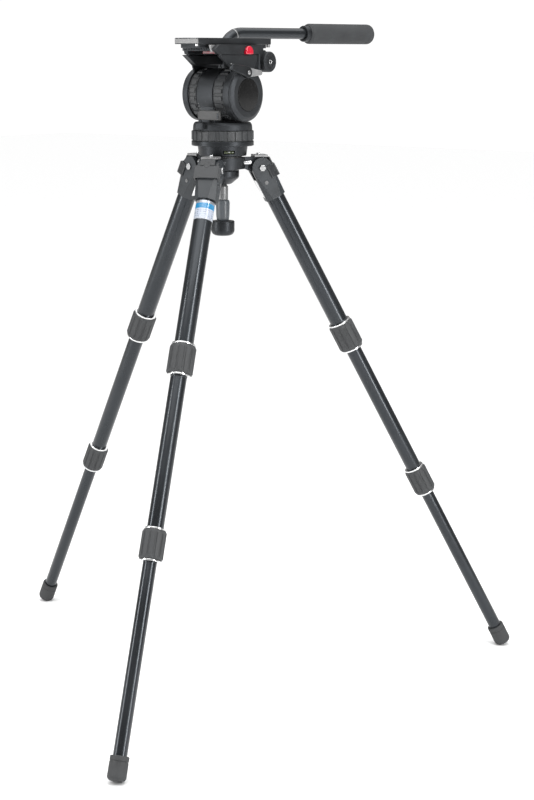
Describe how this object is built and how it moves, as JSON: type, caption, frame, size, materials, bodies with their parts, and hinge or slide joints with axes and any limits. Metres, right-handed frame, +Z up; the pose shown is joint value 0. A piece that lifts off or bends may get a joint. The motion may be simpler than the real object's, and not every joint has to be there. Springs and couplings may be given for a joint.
{
  "type": "video tripod with fluid head",
  "caption": "Telescopic tripod with twist-lock legs, a levelling ball hub, a pan and tilt fluid head with a sliding camera plate, and a pan bar.",
  "frame": {"origin": "the point on the floor under the pan axis", "axes": "+Z up along the pan axis, -Y the way a camera's lens would look, +X the operator's left"},
  "size_m": [0.8406, 0.893, 1.0786],
  "materials": {
    "black_tube": "gloss black enamel on drawn tube",
    "black_cast": "satin black paint on die-cast metal",
    "grey_rubber": "matt moulded rubber with a fine grain",
    "blue_grey_plastic": "moulded plastic, slightly mottled",
    "bright_steel": "turned and polished steel",
    "grey_metal": "satin grey metal",
    "gloss_black": "polished black plastic",
    "red_plastic": "glossy red plastic",
    "level_glass": "clear vial with a pale green fluid"
  },
  "bodies": {
    "hub": {"hub": "black_cast"},
    "level_base": {"half_ball": "grey_metal", "clamp_cup": "black_cast", "tie_down_rod": "bright_steel", "pan_base": "black_cast", "spirit_level": "level_glass"},
    "tie_down_grip": {"tie_down_grip": "grey_rubber"},
    "pan_drag_ring": {"pan_drag_ring": "grey_rubber"},
    "head_body": {"head_body": "black_cast"},
    "pan_lock_lever": {"pan_lock_lever": "grey_metal"},
    "yoke": {"tilt_axle": "bright_steel", "left_cheek": "black_cast", "right_cheek": "black_cast", "left_cap": "black_cast", "cap_disc": "gloss_black", "platform": "black_cast"},
    "tilt_drag_ring": {"tilt_drag_ring": "grey_rubber"},
    "counterbalance_ring": {"counterbalance_ring": "grey_rubber"},
    "tilt_lock_lever": {"tilt_lock_lever": "grey_metal"},
    "release_button": {"release_button": "red_plastic"},
    "plate_lock_lever": {"plate_lock_lever": "grey_metal"},
    "camera_plate": {"camera_plate": "black_cast"},
    "camera_screw": {"camera_screw": "bright_steel"},
    "handle": {"handle_clamp": "black_cast", "pan_bar": "black_tube", "hand_grip": "grey_rubber"},
    "clamp_knob": {"clamp_knob": "black_cast"},
    "front_leg": {"front_shoulder": "blue_grey_plastic", "front_hinge_pin": "bright_steel", "front_upper_tube": "black_tube", "front_upper_sleeve": "bright_steel"},
    "front_angle_catch": {"front_angle_catch": "blue_grey_plastic"},
    "front_upper_collar": {"front_upper_collar": "grey_rubber"},
    "front_middle_section": {"front_middle_tube": "black_tube", "front_lower_sleeve": "bright_steel"},
    "front_lower_collar": {"front_lower_collar": "grey_rubber"},
    "front_lower_section": {"front_lower_tube": "black_tube", "front_foot": "grey_rubber"},
    "left_leg": {"left_shoulder": "blue_grey_plastic", "left_hinge_pin": "bright_steel", "left_upper_tube": "black_tube", "left_upper_sleeve": "bright_steel"},
    "left_angle_catch": {"left_angle_catch": "blue_grey_plastic"},
    "left_upper_collar": {"left_upper_collar": "grey_rubber"},
    "left_middle_section": {"left_middle_tube": "black_tube", "left_lower_sleeve": "bright_steel"},
    "left_lower_collar": {"left_lower_collar": "grey_rubber"},
    "left_lower_section": {"left_lower_tube": "black_tube", "left_foot": "grey_rubber"},
    "right_leg": {"right_shoulder": "blue_grey_plastic", "right_hinge_pin": "bright_steel", "right_upper_tube": "black_tube", "right_upper_sleeve": "bright_steel"},
    "right_angle_catch": {"right_angle_catch": "blue_grey_plastic"},
    "right_upper_collar": {"right_upper_collar": "grey_rubber"},
    "right_middle_section": {"right_middle_tube": "black_tube", "right_lower_sleeve": "bright_steel"},
    "right_lower_collar": {"right_lower_collar": "grey_rubber"},
    "right_lower_section": {"right_lower_tube": "black_tube", "right_foot": "grey_rubber"}
  },
  "joints": [
    {"name": "level", "type": "hinge", "parent": "hub", "child": "level_base", "pos_m": [0, 0, 0.86748], "axis": [1, 0, 0], "range_deg": [-4, 4]},
    {"name": "pan", "type": "hinge", "parent": "level_base", "child": "head_body", "pos_m": [0, 0, 0.91448], "axis": [0, 0, 1], "continuous": true},
    {"name": "tilt", "type": "hinge", "parent": "head_body", "child": "yoke", "pos_m": [0, 0, 0.96448], "axis": [1, 0, 0], "range_deg": [-75, 60]},
    {"name": "handle_angle", "type": "hinge", "parent": "yoke", "child": "handle", "pos_m": [-0.0582, 0.066, 1.01548], "axis": [1, 0, 0], "range_deg": [-30, 45]},
    {"name": "plate_slide", "type": "slide", "parent": "yoke", "child": "camera_plate", "axis": [0, 1, 0], "range_m": [-0.16, 0.03]},
    {"name": "tie_down_turn", "type": "hinge", "parent": "level_base", "child": "tie_down_grip", "pos_m": [0, 0, 0.76448], "axis": [0, 0, 1], "range_deg": [0, 360]},
    {"name": "pan_drag", "type": "hinge", "parent": "level_base", "child": "pan_drag_ring", "pos_m": [0, 0, 0.89948], "axis": [0, 0, 1], "range_deg": [-160, 160]},
    {"name": "pan_lock", "type": "hinge", "parent": "head_body", "child": "pan_lock_lever", "pos_m": [-0.004, -0.051, 0.92448], "axis": [0, 0, 1], "range_deg": [-25, 15]},
    {"name": "tilt_drag", "type": "hinge", "parent": "head_body", "child": "tilt_drag_ring", "pos_m": [0.023, 0, 0.96448], "axis": [1, 0, 0], "range_deg": [-160, 160]},
    {"name": "counterbalance", "type": "hinge", "parent": "head_body", "child": "counterbalance_ring", "pos_m": [-0.029, 0, 0.96448], "axis": [1, 0, 0], "range_deg": [-160, 160]},
    {"name": "tilt_lock", "type": "hinge", "parent": "yoke", "child": "tilt_lock_lever", "pos_m": [0.053, -0.007, 0.99948], "axis": [1, 0, 0], "range_deg": [-30, 60]},
    {"name": "plate_release", "type": "slide", "parent": "yoke", "child": "release_button", "axis": [-1, 0, 0], "range_m": [0, 0.003], "stiffness_N_per_m": 400, "springref_m": -0.002},
    {"name": "plate_lock", "type": "hinge", "parent": "yoke", "child": "plate_lock_lever", "pos_m": [-0.043, -0.012, 1.03548], "axis": [1, 0, 0], "range_deg": [-40, 0]},
    {"name": "camera_screw_lift", "type": "slide", "parent": "camera_plate", "child": "camera_screw", "axis": [0, 0, 1], "range_m": [0, 0.005]},
    {"name": "clamp_knob_turn", "type": "hinge", "parent": "handle", "child": "clamp_knob", "pos_m": [-0.075, 0.066, 1.01548], "axis": [1, 0, 0], "range_deg": [0, 340]},
    {"name": "front_leg_fold", "type": "hinge", "parent": "hub", "child": "front_leg", "pos_m": [0.02275, -0.05746, 0.84748], "axis": [0.9298, 0.3681, 0], "range_deg": [0, 27]},
    {"name": "front_catch_release", "type": "hinge", "parent": "front_leg", "child": "front_angle_catch", "pos_m": [0.03044, -0.07689, 0.83366], "axis": [0.9298, 0.3681, 0], "range_deg": [0, 20]},
    {"name": "front_middle_slide", "type": "slide", "parent": "front_leg", "child": "front_middle_section", "axis": [-0.1723, 0.4351, 0.8838], "range_m": [0, 0.227]},
    {"name": "front_lower_slide", "type": "slide", "parent": "front_middle_section", "child": "front_lower_section", "axis": [-0.1723, 0.4351, 0.8838], "range_m": [0, 0.28]},
    {"name": "left_leg_fold", "type": "hinge", "parent": "hub", "child": "left_leg", "pos_m": [0.03839, 0.04843, 0.84748], "axis": [-0.7837, 0.6211, 0], "range_deg": [0, 27]},
    {"name": "left_catch_release", "type": "hinge", "parent": "left_leg", "child": "left_angle_catch", "pos_m": [0.05137, 0.06481, 0.83366], "axis": [-0.7837, 0.6211, 0], "range_deg": [0, 20]},
    {"name": "left_middle_slide", "type": "slide", "parent": "left_leg", "child": "left_middle_section", "axis": [-0.2907, -0.3667, 0.8838], "range_m": [0, 0.227]},
    {"name": "left_lower_slide", "type": "slide", "parent": "left_middle_section", "child": "left_lower_section", "axis": [-0.2907, -0.3667, 0.8838], "range_m": [0, 0.28]},
    {"name": "right_leg_fold", "type": "hinge", "parent": "hub", "child": "right_leg", "pos_m": [-0.06114, 0.00903, 0.84748], "axis": [-0.1461, -0.9893, 0], "range_deg": [0, 27]},
    {"name": "right_catch_release", "type": "hinge", "parent": "right_leg", "child": "right_angle_catch", "pos_m": [-0.08181, 0.01208, 0.83366], "axis": [-0.1461, -0.9893, 0], "range_deg": [0, 20]},
    {"name": "right_middle_slide", "type": "slide", "parent": "right_leg", "child": "right_middle_section", "axis": [0.4629, -0.0684, 0.8838], "range_m": [0, 0.227]},
    {"name": "right_lower_slide", "type": "slide", "parent": "right_middle_section", "child": "right_lower_section", "axis": [0.4629, -0.0684, 0.8838], "range_m": [0, 0.28]},
    {"name": "front_upper_lock", "type": "hinge", "parent": "front_leg", "child": "front_upper_collar", "pos_m": [0.07735, -0.19538, 0.56733], "axis": [-0.1723, 0.4351, 0.8838], "range_deg": [0, 90]},
    {"name": "front_lower_lock", "type": "hinge", "parent": "front_middle_section", "child": "front_lower_collar", "pos_m": [0.12731, -0.32155, 0.31104], "axis": [-0.1723, 0.4351, 0.8838], "range_deg": [0, 90]},
    {"name": "left_upper_lock", "type": "hinge", "parent": "left_leg", "child": "left_upper_collar", "pos_m": [0.13052, 0.16468, 0.56733], "axis": [-0.2907, -0.3667, 0.8838], "range_deg": [0, 90]},
    {"name": "left_lower_lock", "type": "hinge", "parent": "left_middle_section", "child": "left_lower_collar", "pos_m": [0.21481, 0.27103, 0.31104], "axis": [-0.2907, -0.3667, 0.8838], "range_deg": [0, 90]},
    {"name": "right_upper_lock", "type": "hinge", "parent": "right_leg", "child": "right_upper_collar", "pos_m": [-0.20788, 0.0307, 0.56733], "axis": [0.4629, -0.0684, 0.8838], "range_deg": [0, 90]},
    {"name": "right_lower_lock", "type": "hinge", "parent": "right_middle_section", "child": "right_lower_collar", "pos_m": [-0.34212, 0.05052, 0.31104], "axis": [0.4629, -0.0684, 0.8838], "range_deg": [0, 90]}
  ]
}
